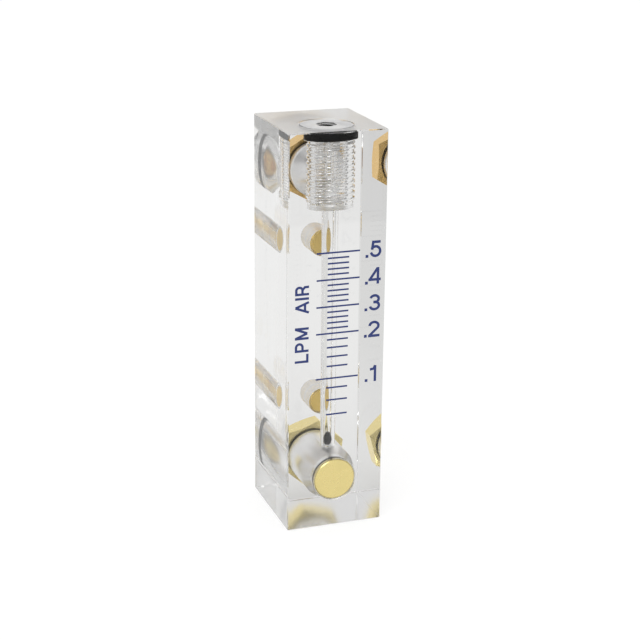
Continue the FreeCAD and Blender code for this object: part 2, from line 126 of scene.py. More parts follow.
# ---------------------------------------------------------------- settings
class MeterSizes(PropertyGroup):
    """Sizes that the frame's boxes don't give. Defaults are the real piece's."""

    edge_break: length("Edge break", "Chamfer on the block's edges", 0.25)
    mouth_break: length("Mouth break", "Chamfer at each hole's mouth", 0.2)
    small_break: length("Small break", "Chamfer on small turned edges", 0.2)
    gland_depth: length("Seal seat", "Depth of the seat for a port's seal", 3.0)
    cavity_radius: length("Port hole", "Radius of the port holes in front of the seal", 7.85)
    upper_end: length("Upper hole's end", "Radius of the upper port hole's flat end", 3.9)
    front_radius: length("Valve hole", "Radius of the hole in the front", 6.2)
    front_wall: length("Front wall", "Front face to the end of the lower port hole", 6.35)
    port_wall: length("Port wall", "Wall between the plug's hole and the upper port hole", 1.125)
    tube_low: length("Tube, low", "Radius of the metering bore at the seat", 2.2)
    tube_high: length("Tube, high", "Radius of the metering bore at its top", 2.4)
    inlet: length("Inlet", "Radius of the hole under the seat", 1.3)
    seat_land: length("Seat land", "Wall between the seat and the lower port hole", 0.45)
    chamber: length("Chamber", "Room between the metering bore and the top plug", 1.8)
    passage: length("Passage", "Radius of the hole to the upper port hole", 1.0)
    thread_radius: length("Thread", "Major radius of the top plug's thread", 7.0)
    thread_pitch: length("Pitch", "Pitch of the top plug's thread", 1.5875)
    thread_depth: length("Thread depth", "Depth of the top plug's thread", 0.4)
    thread_lead: length("Thread lead", "Plain end before the top plug's thread", 0.8)
    seal_bore: length("Counterbore", "Radius of the counterbore for the head and seal", 7.7)
    head_thickness: length("Head", "Thickness of the top plug's head", 0.9)
    seal_space: length("Seal room", "Height of the room for the top plug's seal", 2.4)
    close_gap: length("Close gap", "Radial gap of close fits", 0.05)
    face_gap: length("Face gap", "Air between the block's back and a port's hexagon", 0.04)
    print_gap: length("Print gap", "How far the clear face lies under the printed ink's face", 0.03)
    socket_flats: length("Socket", "Hexagon socket across flats", 4.76)
    socket_depth: length("Socket depth", "Depth of the hexagon socket", 6.5)
    socket_break: length("Socket break", "Chamfer at the hexagon socket's mouth", 0.25)
    pilot_radius: length("Pilot", "Radius of the drilled hole below the socket", 1.8)
    pilot_depth: length("Pilot depth", "Depth of that hole from the top", 14.0)
    top_seal_section: length("Top seal", "Thickness of the top plug's seal", 2.2)
    seal_section: length("Seal", "Thickness of the port seals", 1.6)
    front_seal_section: length("Front seal", "Thickness of the front plug's seal", 1.3)
    port_seal_height: length("Port seal height", "Height of a port seal as squeezed", 1.45)
    front_seal_height: length("Front seal height", "Height of the front seal as squeezed", 1.6)
    seal_play: length("Seal play", "Room left beside a seal", 0.02)
    contact: length("Contact", "How far a squeezed seal wets its wall", 0.02)
    spigot: length("Spigot", "How far a port adapter's neck reaches into the block", 1.5)
    hexagon_flats: length("Hexagon", "Port adapter across flats", 18.0)
    pipe_radius: length("Pipe thread", "Radius of the pipe thread's tap drill", 4.3)
    pipe_depth: length("Pipe depth", "How deep the pipe thread goes in", 10.5)
    pipe_pitch: length("Pipe pitch", "Pitch of the pipe thread", 0.94)
    pipe_ridge: length("Pipe ridge", "Height of the pipe thread's ridges", 0.6)
    pipe_lead: length("Pipe lead", "Countersink before the pipe thread", 1.0)
    flow_radius: length("Flow bore", "Radius of the hole through the adapter", 2.5)
    insert_tap: length("Insert thread", "Radius of the insert's tap drill", 2.02)
    insert_depth: length("Insert depth", "How deep the insert's thread goes in", 9.5)
    insert_pitch: length("Insert pitch", "Pitch of the insert's thread", 0.794)
    insert_ridge: length("Insert ridge", "Height of the insert thread's ridges", 0.35)
    insert_lead: length("Insert lead", "Countersink before the insert's thread", 0.2)
    insert_nose: length("Insert nose", "Chamfer at the insert's blind end", 0.7)
    insert_tail: length("Insert tail", "Plain band at the insert's open end", 0.4)
    insert_groove: length("Insert groove", "Width of the groove round the insert's middle", 1.2)
    groove_depth: length("Groove depth", "Depth of that groove", 0.35)
    knurl_pitch: length("Knurl", "Pitch of the insert's diamond knurl", 0.9)
    knurl_depth: length("Knurl depth", "Depth of the knurl", 0.18)
    disc_radius: length("Front disc", "Radius of the front plug's disc", 6.0)
    disc_break: length("Disc break", "Rounding of the front plug's edges", 0.25)
    front_groove: length("Front groove", "Width of the front plug's groove", 1.8)
    ink: length("Ink", "Thickness of the printed ink", 0.02)
    ink_step: length("Ink step", "How far each stroke of a sign lies behind the last", 0.002)
    segments: IntProperty(name="Segments", description="Steps round a full turn", default=128)


class MeterColours(PropertyGroup):
    """Colours of the finishes."""

    brass: colour("Brass", "Freshly turned brass", "#E2D190")
    # The upper port's brass is drawn in a darker copy of the lower port's tint.
    dark_brass: colour("Dark brass", "The upper port's brass, a little darkened", "#DDB76E")
    knurl_brass: colour("Knurled brass", "The inserts' brass", "#F2D27C")
    ink: colour("Ink", "Printed scale", "#1C2E6B")
    rubber: colour("Rubber", "Nitrile seals", "#050505")
    ball: colour("Ball", "Black glass", "#060607")
    floor: colour("Floor", "Pale floor", "#F4F4F2")


class MeterView(PropertyGroup):
    """Where the camera stands."""

    azimuth: FloatProperty(name="Azimuth", description="Degrees from the front", default=-19.57)
    elevation: FloatProperty(name="Elevation", description="Degrees above level", default=18.24)
    roll: FloatProperty(name="Roll", description="Degrees of tilt", default=0.61)
    distance: length("Distance", "Camera to its target", 451.2)
    lens: FloatProperty(name="Lens", description="Focal length in millimetres", default=87.78)
    target: FloatVectorProperty(
        name="Target", description="What the camera looks at", size=3, subtype="XYZ",
        default=(0.63 * MM, 0.0, 57.6 * MM))


# ---------------------------------------------------------------- mesh building
def broadcast_rows(rows, segments):
    """Rows of (station, radius), each a number or an array round the turn, as two arrays."""
    stations = np.array([np.broadcast_to(station, segments) for station, _ in rows], float)
    radii = np.array([np.broadcast_to(radius, segments) for _, radius in rows], float)
    return stations, radii


def turned(rows, segments, closed=False):
    """A turned surface: each row is a ring at a station along Z, at a radius.

    Point (i, j) is (r cos a, r sin a, s), with a = j / segments of a turn. A first or last row
    of radius 0 becomes one point. Rows that climb Z on the outside give outward faces. A closed
    profile joins the last row to the first, as in a ring.
    """
    stations, radii = broadcast_rows(rows, segments)
    angle = np.arange(segments) * TURN / segments
    points = np.stack([radii * np.cos(angle), radii * np.sin(angle), stations], axis=-1)
    count = len(rows)
    index = np.arange(count * segments).reshape(count, segments)
    if closed:
        index = np.vstack([index, index[:1]])
    across = np.roll(index, -1, axis=1)
    quads = np.stack([index[:-1], across[:-1], across[1:], index[1:]], axis=-1).reshape(-1, 4)
    faces = quads
    points = points.reshape(-1, 3)
    if not closed:
        if radii[0].max() == 0:
            faces = np.where(faces < segments, 0, faces)
        if radii[-1].max() == 0:
            last = (count - 1) * segments
            faces = np.where(faces >= last, last, faces)
    return points, faces


def to_axis(points, axis, origin):
    """Move points drawn round Z to an axis through the origin given: Z stays, or Z turns to Y."""
    if axis == "Y":
        points = points[:, [0, 2, 1]] * np.array([1.0, 1.0, -1.0])
    return points + np.array(origin)


def make_mesh(name, points, faces, materials, face_material=None, sharp=30.0):
    """A mesh object from arrays. Corners that share a point in a face are dropped."""
    used, inverse = np.unique(faces, return_inverse=True)
    faces = inverse.reshape(faces.shape)
    polygons = []
    for face in faces.tolist():
        polygons.append([corner for k, corner in enumerate(face) if corner != face[k - 1]])
    keep = np.array([len(polygon) > 2 for polygon in polygons])
    mesh = bpy.data.meshes.new(name)
    mesh.from_pydata(
        points[used].tolist(), [], [face for face, kept in zip(polygons, keep) if kept])
    for material in materials:
        mesh.materials.append(material)
    if face_material is not None:
        mesh.polygons.foreach_set("material_index", np.asarray(face_material)[keep])
    smooth(mesh, sharp)
    piece = bpy.data.objects.new(name, mesh)
    bpy.context.scene.collection.objects.link(piece)
    return piece


def smooth(mesh, sharp):
    """Smooth shading, with a crease wherever two faces meet at more than the angle given."""
    mesh.shade_smooth()
    mesh.set_sharp_from_angle(angle=math.radians(sharp))
    mesh.update()


def lathe(name, rows, materials, axis="Z", origin=(0, 0, 0), row_material=None, closed=False,
          segments=None, sharp=30.0):
    """A turned piece. The row material gives one slot number for each band between rows."""
    segments = segments or bpy.context.scene.meter_sizes.segments
    points, faces = turned(rows, segments, closed)
    face_material = None if row_material is None else np.repeat(row_material, segments)
    return make_mesh(name, to_axis(points, axis, origin), faces, materials, face_material, sharp)


def combine(target, others, operation, flat=(), sharp=60.0):
    """Cut the other pieces out of the target, or join them to it, and apply the result.

    The slots listed as flat hold plane faces only: these keep their own normals, because a
    normal that's shared round an edge would bend what is seen through the whole face.
    """
    for other in others:
        modifier = target.modifiers.new(other.name, "BOOLEAN")
        modifier.operation = operation
        modifier.solver = "EXACT"
        modifier.material_mode = "TRANSFER"
        modifier.object = other
    graph = bpy.context.evaluated_depsgraph_get()
    result = bpy.data.meshes.new_from_object(target.evaluated_get(graph))
    target.modifiers.clear()
    old = target.data
    target.data = result
    result.name = target.name
    bpy.data.meshes.remove(old)
    for other in others:
        bpy.data.objects.remove(other)
    smooth(target.data, sharp)
    slot = np.zeros(len(result.polygons), int)
    result.polygons.foreach_get("material_index", slot)
    result.polygons.foreach_set("use_smooth", ~np.isin(slot, flat))
    return target


def finished(piece, body, slot, *nodes):
    """Hand a piece to the frame: the body it rides on, and the nodes it stands for, which it hides.
    The slot, a finish's name, is not used.
    """
    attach(piece, body)
    if nodes:
        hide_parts(*nodes)
    return piece


# ---------------------------------------------------------------- thread and knurl surfaces
def thread_rows(start, end, crest, depth, pitch, segments, per_pitch=16, flat=1.0, runout=0.6):
    """Rows of a helical thread: the radius falls from the crest to the root and back once a pitch.

    The fall is a cosine of the station over the pitch less the angle over a turn, so that its
    crests and roots are rounded. A flat of more than 1 steepens the cosine and cuts it off, which
    leaves plane crests and roots. It fades to the root within part of a pitch of each end.
    """
    angle = np.arange(segments) / segments
    count = max(2, int(round(abs(end - start) / pitch * per_pitch)))
    rows = []
    for station in np.linspace(start, end, count + 1):
        wave = 0.5 + 0.5 * np.clip(flat * np.cos(TURN * (station / pitch - angle)), -1.0, 1.0)
        near = min(abs(station - start), abs(station - end)) / (runout * pitch)
        fade = min(1.0, near)
        rows.append((station, crest - depth * (1.0 - (1.0 - wave) * fade)))
    return rows


def knurl_rows(start, end, radius, depth, pitch, segments, per_pitch=6):
    """Rows of a diamond knurl: two families of V grooves wind round in opposite senses.

    Each groove is a triangle wave of the angle plus or minus the station, and the deeper of the
    two is taken at each point.
    """
    teeth = int(round(TURN * radius / pitch))
    angle = np.arange(segments) * teeth / segments
    count = max(2, int(round(abs(end - start) / pitch * per_pitch)))
    rows = []
    for station in np.linspace(start, end, count + 1):
        climb = station / pitch
        first = 1.0 - 2.0 * np.abs((angle + climb) % 1.0 - 0.5)
        second = 1.0 - 2.0 * np.abs((angle - climb) % 1.0 - 0.5)
        rows.append((station, radius - depth * np.maximum(first, second) ** 2))
    return rows


# ---------------------------------------------------------------- shader nodes
def add_node(tree, kind, inputs=None, **settings):
    """Add a node, with its settings, and fill its sockets with values or links."""
    node = tree.nodes.new(kind)
    for key, value in settings.items():
        setattr(node, key, value)
    for key, value in (inputs or {}).items():
        if isinstance(value, bpy.types.NodeSocket):
            tree.links.new(value, node.inputs[key])
        else:
            node.inputs[key].default_value = value
    return node


def new_material(name):
    """A material with its surface shader, and that shader's node tree."""
    material = bpy.data.materials.new(name)
    material.use_nodes = True
    tree = material.node_tree
    tree.nodes.clear()
    shader = add_node(tree, "ShaderNodeBsdfPrincipled")
    add_node(tree, "ShaderNodeOutputMaterial", {"Surface": shader.outputs["BSDF"]})
    return material, tree, shader


def cast_acrylic(name, roughness, white=0.0, clear=0.998):
    """Cast acrylic, IOR 1.49 and water clear.

    Polished faces stay sharp to look through. A cutter's faces scatter: their roughness frosts
    them, so that they read white against the clear block. White is the share of light that the
    torn surface of a cut scatters back before it gets through, and clear is how much of the light
    the face lets by: near 1 it is the plain acrylic, and lower it darkens the face as painted
    shade.
    """
    material, _, shader = new_material(name)
    shader.inputs["Base Color"].default_value = (clear, clear, 0.998 * clear, 1.0)
    shader.inputs["IOR"].default_value = 1.49
    shader.inputs["Roughness"].default_value = roughness
    shader.inputs["Transmission Weight"].default_value = 1.0 - white
    return material


# Distance between the crests of a wave texture at a scale of 1.
WAVE_SPACING = 0.314


def turned_brass(name, tint, roughness, centre, mark_size=0.5 * MM):
    """Free cutting brass, faced in a lathe.

    The tool leaves fine rings about the axis. They are drawn at half a millimetre, coarser than
    the real tenth, so that they show: they spread the highlight into a soft band.
    """
    material, tree, shader = new_material(name)
    place = add_node(tree, "ShaderNodeTexCoord")
    mapping = add_node(tree, "ShaderNodeMapping", {
        "Vector": place.outputs["Object"], "Location": (-centre[0], -centre[1], -centre[2])})
    rings = add_node(tree, "ShaderNodeTexWave", {
        "Vector": mapping.outputs["Vector"], "Scale": WAVE_SPACING / mark_size, "Distortion": 0.6,
        "Detail": 1.0}, wave_type="RINGS", rings_direction="Y")
    noise = add_node(tree, "ShaderNodeTexNoise", {
        "Vector": place.outputs["Object"], "Scale": 1.0 / (2.5 * MM), "Detail": 3.0})
    shade = add_node(tree, "ShaderNodeMix", {
        "Factor": noise.outputs["Fac"],
        "A": (*[0.9 * v for v in tint], 1.0),
        "B": (*tint, 1.0)}, data_type="RGBA")
    tree.links.new(shade.outputs["Result"], shader.inputs["Base Color"])
    spread = add_node(tree, "ShaderNodeMapRange", {
        "Value": noise.outputs["Fac"], "To Min": roughness * 0.8, "To Max": roughness * 1.3})
    tree.links.new(spread.outputs["Result"], shader.inputs["Roughness"])
    relief = add_node(tree, "ShaderNodeBump", {
        "Height": rings.outputs["Fac"], "Distance": 0.004 * MM, "Strength": 0.6})
    tree.links.new(relief.outputs["Normal"], shader.inputs["Normal"])
    shader.inputs["Metallic"].default_value = 1.0
    return material


def moulded_rubber(name, tint):
    """Nitrile rubber, moulded: nearly black, with a dull even sheen and a fine skin."""
    material, tree, shader = new_material(name)
    place = add_node(tree, "ShaderNodeTexCoord")
    noise = add_node(tree, "ShaderNodeTexNoise", {
        "Vector": place.outputs["Object"], "Scale": 1.0 / (0.3 * MM), "Detail": 2.0})
    shader.inputs["Base Color"].default_value = (*tint, 1.0)
    shader.inputs["Specular IOR Level"].default_value = 0.1
    spread = add_node(tree, "ShaderNodeMapRange", {
        "Value": noise.outputs["Fac"], "To Min": 0.4, "To Max": 0.55})
    tree.links.new(spread.outputs["Result"], shader.inputs["Roughness"])
    skin = add_node(tree, "ShaderNodeBump", {
        "Height": noise.outputs["Fac"], "Distance": 0.004 * MM, "Strength": 0.4})
    tree.links.new(skin.outputs["Normal"], shader.inputs["Normal"])
    return material


def black_glass(name, tint):
    """Ground and polished black glass: opaque, with a small sharp highlight."""
    material, tree, shader = new_material(name)
    place = add_node(tree, "ShaderNodeTexCoord")
    noise = add_node(tree, "ShaderNodeTexNoise", {
        "Vector": place.outputs["Object"], "Scale": 1.0 / (1.0 * MM), "Detail": 2.0})
    shader.inputs["Base Color"].default_value = (*tint, 1.0)
    shader.inputs["IOR"].default_value = 1.52
    shader.inputs["Specular IOR Level"].default_value = 0.2
    spread = add_node(tree, "ShaderNodeMapRange", {
        "Value": noise.outputs["Fac"], "To Min": 0.05, "To Max": 0.12})
    tree.links.new(spread.outputs["Result"], shader.inputs["Roughness"])
    return material


def screen_ink(name, tint):
    """Screen printed epoxy ink: an even film, a little stronger and weaker as the mesh let it."""
    material, tree, shader = new_material(name)
    place = add_node(tree, "ShaderNodeTexCoord")
    noise = add_node(tree, "ShaderNodeTexNoise", {
        "Vector": place.outputs["Object"], "Scale": 1.0 / (0.4 * MM), "Detail": 2.0})
    shade = add_node(tree, "ShaderNodeMix", {
        "Factor": noise.outputs["Fac"],
        "A": (*[0.8 * v for v in tint], 1.0),
        "B": (*[min(1.0, 1.2 * v) for v in tint], 1.0)}, data_type="RGBA")
    tree.links.new(shade.outputs["Result"], shader.inputs["Base Color"])
    shader.inputs["Roughness"].default_value = 0.45
    return material


# How each face of the acrylic was made: its roughness, and where a cut is torn, its white share
# and how clear it stays. The sawn top's and the faced plug head's lower clear values are painted
# shade, which greys these top faces.
ACRYLIC_CUTS = {
    "polished": (0.0,),
    "reamed": (0.05,),
    "bored": (0.3,),
    "milled": (0.5,),
    "sanded": (0.18,),
    # Sawn and faced: their last value darkens the face, painted shade on the top faces.
    "sawn": (0.5, 0.3, 0.8),
    "faced": (0.5, 0.45, 0.83),
    "threaded": (0.1,),
}
FINISHES = {}


def finishes():
    """The materials, made once and kept by name."""
    if FINISHES:
        return FINISHES
    tints = bpy.context.scene.meter_colours
    for cut, surface in ACRYLIC_CUTS.items():
        FINISHES[cut] = cast_acrylic(cut + "_cast_acrylic", *surface)
    FINISHES["brass"] = turned_brass(
        "turned_brass", tints.brass, 0.25, (0, 0, PORT_HEIGHT["lower"]))
    FINISHES["upper_brass"] = turned_brass(
        "darker_turned_brass", tints.dark_brass, 0.25, (0, 0, PORT_HEIGHT["upper"]))
    FINISHES["insert_brass"] = turned_brass("knurled_brass", tints.knurl_brass, 0.35, (0, 0, 0))
    FINISHES["rubber"] = moulded_rubber("moulded_nitrile_rubber", tints.rubber)
    FINISHES["ball"] = black_glass("ground_black_glass", tints.ball)
    FINISHES["ink"] = screen_ink("screen_printed_epoxy_ink", tints.ink)
    return FINISHES


# ---------------------------------------------------------------- shared profiles
def plug_thread(sizes, start, end, clearance):
    """The top plug's thread, or with a clearance the thread in its hole."""
    crest = sizes.thread_radius - sizes.close_gap + clearance
    return thread_rows(start, end, crest, sizes.thread_depth, sizes.thread_pitch, sizes.segments,
                       per_pitch=32, flat=2.0)


def port_hole(sizes, front, end_radius):
    """Bore along +Y from its front end: a steep cone, the port hole and the seal's seat."""
    back = BLOCK_HIGH.y
    seat = back - sizes.gland_depth
    seal_seat = SEAL_REACH + sizes.seal_play
    beyond = back + PAST
    cone = (sizes.cavity_radius - end_radius) * math.tan(CONE_SLOPE)
    return [
        (front, end_radius),
        (front + cone, sizes.cavity_radius),
        (seat, sizes.cavity_radius),
        (seat, seal_seat),
        (beyond, seal_seat),
        (beyond, 0.0),
    ]


PORT_HOLE_FACES = ["bored", "bored", "milled", "bored", "bored"]
BLOCK_FINISHES = ["polished", "sanded", "sawn", "reamed", "bored", "milled", "threaded"]


def slots(names, kinds):
    """The slot number of each kind of finish."""
    return [names.index(kind) for kind in kinds]


def metering_cutter(sizes, materials):
    """The upright hole, turned about the metering bore's axis, with its thread at the top.

    The thread runs on below the plug's end, and stops short of the floor of the seal's room.
    """
    run_on, relief = 0.6 * MM, 0.3 * MM
    seat = PORT_HEIGHT["lower"] + sizes.cavity_radius + sizes.seat_land
    chamber = PLUG_LOW.z - sizes.chamber
    seal_floor = PLUG_HIGH.z - sizes.head_thickness - sizes.seal_space
    thread = plug_thread(sizes, PLUG_LOW.z - run_on, seal_floor - relief, sizes.close_gap)
    root = sizes.thread_radius - sizes.thread_depth
    rows = [
        (PORT_HEIGHT["lower"], 0.0),
        (PORT_HEIGHT["lower"], sizes.inlet),
        (seat, sizes.inlet),
        (seat, sizes.tube_low),
        (chamber, sizes.tube_high),
        (chamber, root),
    ] + thread + [
        (seal_floor, root),
        (seal_floor, sizes.seal_bore),
        (PLUG_HIGH.z - sizes.mouth_break, sizes.seal_bore),
        (PLUG_HIGH.z, sizes.seal_bore + sizes.mouth_break),
        (PLUG_HIGH.z + PAST, sizes.seal_bore + sizes.mouth_break),
        (PLUG_HIGH.z + PAST, 0.0),
    ]
    kinds = ["bored", "reamed", "milled", "reamed", "milled", "bored"]
    kinds += ["threaded"] * (len(thread) - 1)
    kinds += ["threaded", "milled", "bored", "bored", "bored", "bored"]
    return lathe("metering_hole", rows, materials, "Z", (BORE_AXIS.x, BORE_AXIS.y, 0),
                 slots(BLOCK_FINISHES, kinds))


def blank_block(low, high, materials):
    """The uncut block: x, y and z each take their low or high value in turn.

    Its sides are polished, its foot is sanded and its top is sawn.
    """
    points = np.where(BOX_CORNERS, np.array(high), np.array(low))
    kinds = ["polished"] * 4 + ["sanded", "sawn"]
    return make_mesh("block", points, BOX_FACES, materials, slots(BLOCK_FINISHES, kinds))


def insert_socket(sizes, node, materials):
    """The blind hole for an insert: its wall lies inside the knurl's tips, by a quarter of the
    knurl's depth."""
    low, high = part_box(node)
    grip = extent(node).x / 2 - 0.25 * sizes.knurl_depth
    rows = [
        (low.y + sizes.contact, 0.0),
        (low.y + sizes.contact, grip),
        (high.y + PAST, grip),
        (high.y + PAST, 0.0),
    ]
    return lathe(node + "_socket", rows, materials, "Y", (0, 0, middle(node).z),
                 slots(BLOCK_FINISHES, ["milled", "bored", "bored"]))


class METER_OT_block(Operator):
    """The acrylic block: a bevelled box with its holes cut out, and a finish for each cut."""

    bl_idname = "meter.block"
    bl_label = "Acrylic Block"

    def execute(self, context):
        sizes = context.scene.meter_sizes
        materials = [finishes()[kind] for kind in BLOCK_FINISHES]
        front_face = BLOCK_LOW + Vector((0, sizes.print_gap, 0))
        block = blank_block(front_face, BLOCK_HIGH, materials)
        bevel = block.modifiers.new("edge_break", "BEVEL")
        bevel.width = sizes.edge_break
        bevel.segments = 1
        bevel.limit_method = "ANGLE"

        front = front_face.y
        mouth = sizes.mouth_break
        lower_end = front + sizes.front_wall
        lower = [
            (front - PAST, 0.0),
            (front - PAST, sizes.front_radius + mouth),
            (front, sizes.front_radius + mouth),
            (front + mouth, sizes.front_radius),
        ] + port_hole(sizes, lower_end, sizes.front_radius)
        upper_end = BORE_AXIS.y + sizes.thread_radius + sizes.close_gap + sizes.port_wall
        upper = [(upper_end, 0.0)] + port_hole(sizes, upper_end, sizes.upper_end)
        passage_height = PLUG_LOW.z - sizes.chamber / 2 + sizes.passage / 2
        passage = [
            (BORE_AXIS.y, 0.0),
            (BORE_AXIS.y, sizes.passage),
            (upper_end + PAST, sizes.passage),
            (upper_end + PAST, 0.0),
        ]
        holes = [
            ("lower_hole", lower, PORT_HEIGHT["lower"], ["bored"] * 4 + PORT_HOLE_FACES, None),
            ("upper_hole", upper, PORT_HEIGHT["upper"], ["milled"] + PORT_HOLE_FACES, None),
            ("passage", passage, passage_height, ["bored"] * 3, 32),
        ]
        cutters = [metering_cutter(sizes, materials)]
        for name, rows, height, kinds, steps in holes:
            cutters.append(lathe(name, rows, materials, "Y", (0, 0, height),
                                 slots(BLOCK_FINISHES, kinds), segments=steps))
        for side in ("lower", "upper"):
            cutters.append(insert_socket(sizes, side + "_mounting_insert", materials))
        plane = slots(BLOCK_FINISHES, ["polished", "sanded", "sawn", "milled"])
        combine(block, cutters, "DIFFERENCE", plane)
        finished(block, "meter", "acrylic", "acrylic_block")
        return {"FINISHED"}


def hexagon_radius(flats, segments):
    """Radius of a hexagon's outline at each step round the turn: half the flats over the cosine
    of the angle from the nearest flat's middle. A flat faces +X."""
    angle = np.arange(segments) * TURN / segments
    off = (angle + TURN / 12) % (TURN / 6) - TURN / 12
    return flats / 2 / np.cos(off)


class METER_OT_top_plug(Operator):
    """The clear top plug: threaded shank, neck, head, hexagon socket and drilled hole."""

    bl_idname = "meter.top_plug"
    bl_label = "Top Plug"

    def execute(self, context):
        sizes = context.scene.meter_sizes
        top, end = PLUG_HIGH.z, PLUG_LOW.z
        head_radius = extent("top_plug").x / 2
        neck = sizes.seal_bore - sizes.top_seal_section
        under_head = top - sizes.head_thickness
        neck_end = under_head - sizes.seal_space
        root = sizes.thread_radius - sizes.close_gap - sizes.thread_depth
        thread = plug_thread(sizes, end + sizes.thread_lead, neck_end, 0.0)
        socket = hexagon_radius(sizes.socket_flats, sizes.segments)
        rows = [(end, 0.0), (end, root - sizes.small_break)] + thread + [
            (neck_end, neck),
            (under_head, neck),
            (under_head, head_radius),
            (top - sizes.mouth_break, head_radius),
            (top, head_radius - sizes.mouth_break),
            (top, socket + sizes.socket_break),
            (top - sizes.socket_break, socket),
            (top - sizes.socket_depth, socket),
            (top - sizes.socket_depth, sizes.pilot_radius),
            (top - sizes.pilot_depth, sizes.pilot_radius),
            (top - sizes.pilot_depth - DRILL_POINT * sizes.pilot_radius, 0.0),
        ]
        names = ["faced", "bored", "milled", "threaded", "reamed"]
        kinds = ["bored"] * 2 + ["threaded"] * (len(thread) - 1) + ["bored"] * 5
        kinds += ["faced", "reamed", "reamed", "milled", "reamed", "milled"]
        plug = lathe("threaded_top_plug", rows, [finishes()[name] for name in names], "Z",
                     (BORE_AXIS.x, BORE_AXIS.y, 0), slots(names, kinds))
        finished(plug, "meter", "acrylic", "top_plug")
        return {"FINISHED"}


def squeezed_ring(section, height, wall, contact, bulge, power, steps=48):
    """Rows of a squeezed seal: a rounded oval, cut flat at the wall and the neck.

    The station is minus the cosine and the radius is the sine of one turn, each raised to two
    over the power, which squares the oval up. The bulge widens the oval, and its radius is then
    held between the neck and a little past the wall, so that the rubber wets the wall in a band.
    """
    angle = np.arange(steps) * TURN / steps
    cosine, sine = np.cos(angle), np.sin(angle)
    along = -height / 2 * np.sign(cosine) * np.abs(cosine) ** (2.0 / power)
    across = bulge * section / 2 * np.sign(sine) * np.abs(sine) ** (2.0 / power)
    across = np.clip(across, -section / 2, section / 2 + contact)
    centre = wall - section / 2
    return list(zip(along, centre + across))


class METER_OT_seals(Operator):
    """The four rubber seals, squeezed in their seats."""

    bl_idname = "meter.seals"
    bl_label = "Seals"

    def execute(self, context):
        sizes = context.scene.meter_sizes
        port = (SEAL_REACH + sizes.seal_play, sizes.seal_section, sizes.port_seal_height)
        squared, rounded = 4.0, 2.0
        # Each seal's axis, its wall's radius, its section and height, its bulge and its power.
        places = {
            "top_plug_seal": ("Z", sizes.seal_bore, sizes.top_seal_section,
                              sizes.seal_space - sizes.seal_play, 1.3, squared),
            "upper_port_seal": ("Y", *port, 1.25, squared),
            "lower_port_seal": ("Y", *port, 1.25, squared),
            "front_plug_seal": ("Y", sizes.front_radius, sizes.front_seal_section,
                                sizes.front_seal_height, 1.25, rounded),
        }
        for node, (axis, wall, section, height, bulge, power) in places.items():
            rows = squeezed_ring(section, height, wall, sizes.contact, bulge, power)
            place = middle(node)
            if "port" in node:
                # The port seals are pressed against the hexagon's face.
                place.y = BLOCK_HIGH.y + sizes.face_gap - height / 2
            ring = lathe(node.replace("_seal", "_ring"), rows, [finishes()["rubber"]], axis,
                         place, closed=True, sharp=60.0)
            finished(ring, "meter", "black_rubber", node)
        return {"FINISHED"}


def about_y(points, angle):
    """Turn points about the Y axis, clockwise as seen from the front."""
    cosine, sine = math.cos(angle), math.sin(angle)
    return points @ np.array([[cosine, 0, -sine], [0, 1, 0], [sine, 0, cosine]])


class METER_OT_port_adapters(Operator):
    """The two brass hexagons, each with a short spigot inside the block, tapped for pipe.

    A corner's bevel rises with the distance past the flats' circle, as a turned cone does.
    """

    bl_idname = "meter.port_adapters"
    bl_label = "Port Adapters"

    def execute(self, context):
        sizes = context.scene.meter_sizes
        half_flat = sizes.hexagon_flats / 2
        outline = hexagon_radius(sizes.hexagon_flats, FINE_STEPS)
        bevel = (outline - half_flat) * math.tan(BEVEL_SLOPE)
        seat = BLOCK_HIGH.y + sizes.face_gap
        face = HEXAGON_FACE
        neck = SEAL_REACH + sizes.seal_play - sizes.seal_section
        nose = BLOCK_HIGH.y - sizes.spigot
        pipe_end = face - sizes.pipe_depth
        pipe = thread_rows(face - sizes.pipe_lead, pipe_end, sizes.pipe_radius + sizes.pipe_ridge,
                           sizes.pipe_ridge, sizes.pipe_pitch, FINE_STEPS)
        for side, node in PORT_NODES.items():
            rows = [
                (nose, sizes.flow_radius),
                (nose, neck - sizes.small_break),
                (nose + sizes.small_break, neck),
                (seat, neck),
                (seat, half_flat),
                (seat + bevel, outline),
                (face - bevel, outline),
                (face, half_flat),
                (face, sizes.pipe_radius + sizes.pipe_lead),
            ] + pipe + [(pipe_end, sizes.flow_radius)]
            points, faces = turned(rows, FINE_STEPS, closed=True)
            points = about_y(to_axis(points, "Y", (0, 0, 0)), math.radians(HEXAGON_TURNS[side]))
            finish = finishes()["brass" if side == "lower" else "upper_brass"]
            piece = make_mesh(side + "_port_hexagon", points + [0, 0, PORT_HEIGHT[side]], faces,
                              [finish], sharp=25.0)
            finished(piece, "meter", "brass", node)
        return {"FINISHED"}


class METER_OT_front_plug(Operator):
    """The brass disc in the front, which touches its hole behind a rounded edge, and its groove."""

    bl_idname = "meter.front_plug"
    bl_label = "Front Plug"

    def execute(self, context):
        sizes = context.scene.meter_sizes
        front, back = FRONT_PLUG_LOW.y, FRONT_PLUG_HIGH.y
        land = extent("front_plug").x / 2
        radius = sizes.disc_radius
        edge = sizes.disc_break
        grip = sizes.front_radius + sizes.contact
        groove = middle("front_plug_seal").y
        half_groove = sizes.front_groove / 2
        floor = sizes.front_radius - sizes.front_seal_section
        rows = [
            (front, 0.0),
            (front, radius - edge),
            (front + edge / 2, radius - 0.3 * edge),
            (front + edge, radius),
            (front + 2 * edge, grip),
            (groove - half_groove, grip),
            (groove - half_groove, floor),
            (groove + half_groove, floor),
            (groove + half_groove, land),
            (back - edge, land),
            (back, land - edge),
            (back, 0.0),
        ]
        plug = lathe("brass_front_plug", rows, [finishes()["brass"]], "Y",
                     (0, 0, PORT_HEIGHT["lower"]))
        finished(plug, "meter", "brass", "front_plug")
        return {"FINISHED"}


